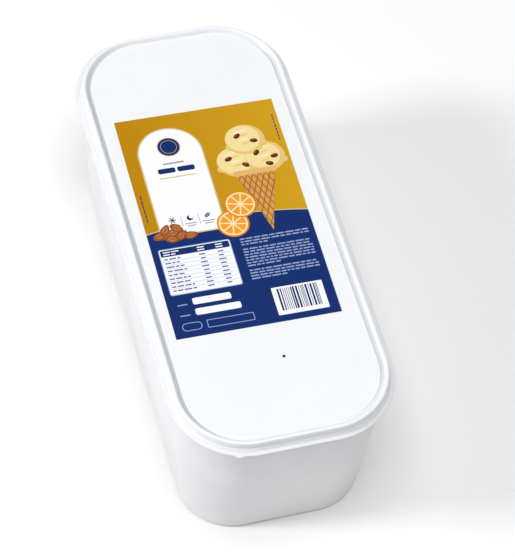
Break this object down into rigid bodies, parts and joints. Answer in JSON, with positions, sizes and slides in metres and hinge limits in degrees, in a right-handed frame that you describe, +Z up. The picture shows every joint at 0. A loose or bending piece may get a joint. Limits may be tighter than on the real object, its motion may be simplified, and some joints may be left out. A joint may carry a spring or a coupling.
{
  "type": "ice cream tub",
  "caption": "Long rectangular catering tub of ice cream with rounded corners, tapered white walls, a rimmed lid pressed shut over its edge and a printed label on top.",
  "frame": {"origin": "centre of the tub's base, on the surface it stands on", "axes": "+Z up, +Y along the tub towards the end that the label lies nearer to, +X across, to the right of someone reading the label"},
  "size_m": [0.1574, 0.3632, 0.1258],
  "materials": {
    "tub_plastic": "white polypropylene, satin, slightly translucent",
    "lid_plastic": "white polypropylene, satin",
    "label_film": "printed film in ochre, navy and white, semi-gloss"
  },
  "bodies": {
    "root": {"tub": "tub_plastic", "lid": "lid_plastic", "label": "label_film"}
  },
  "joints": []
}
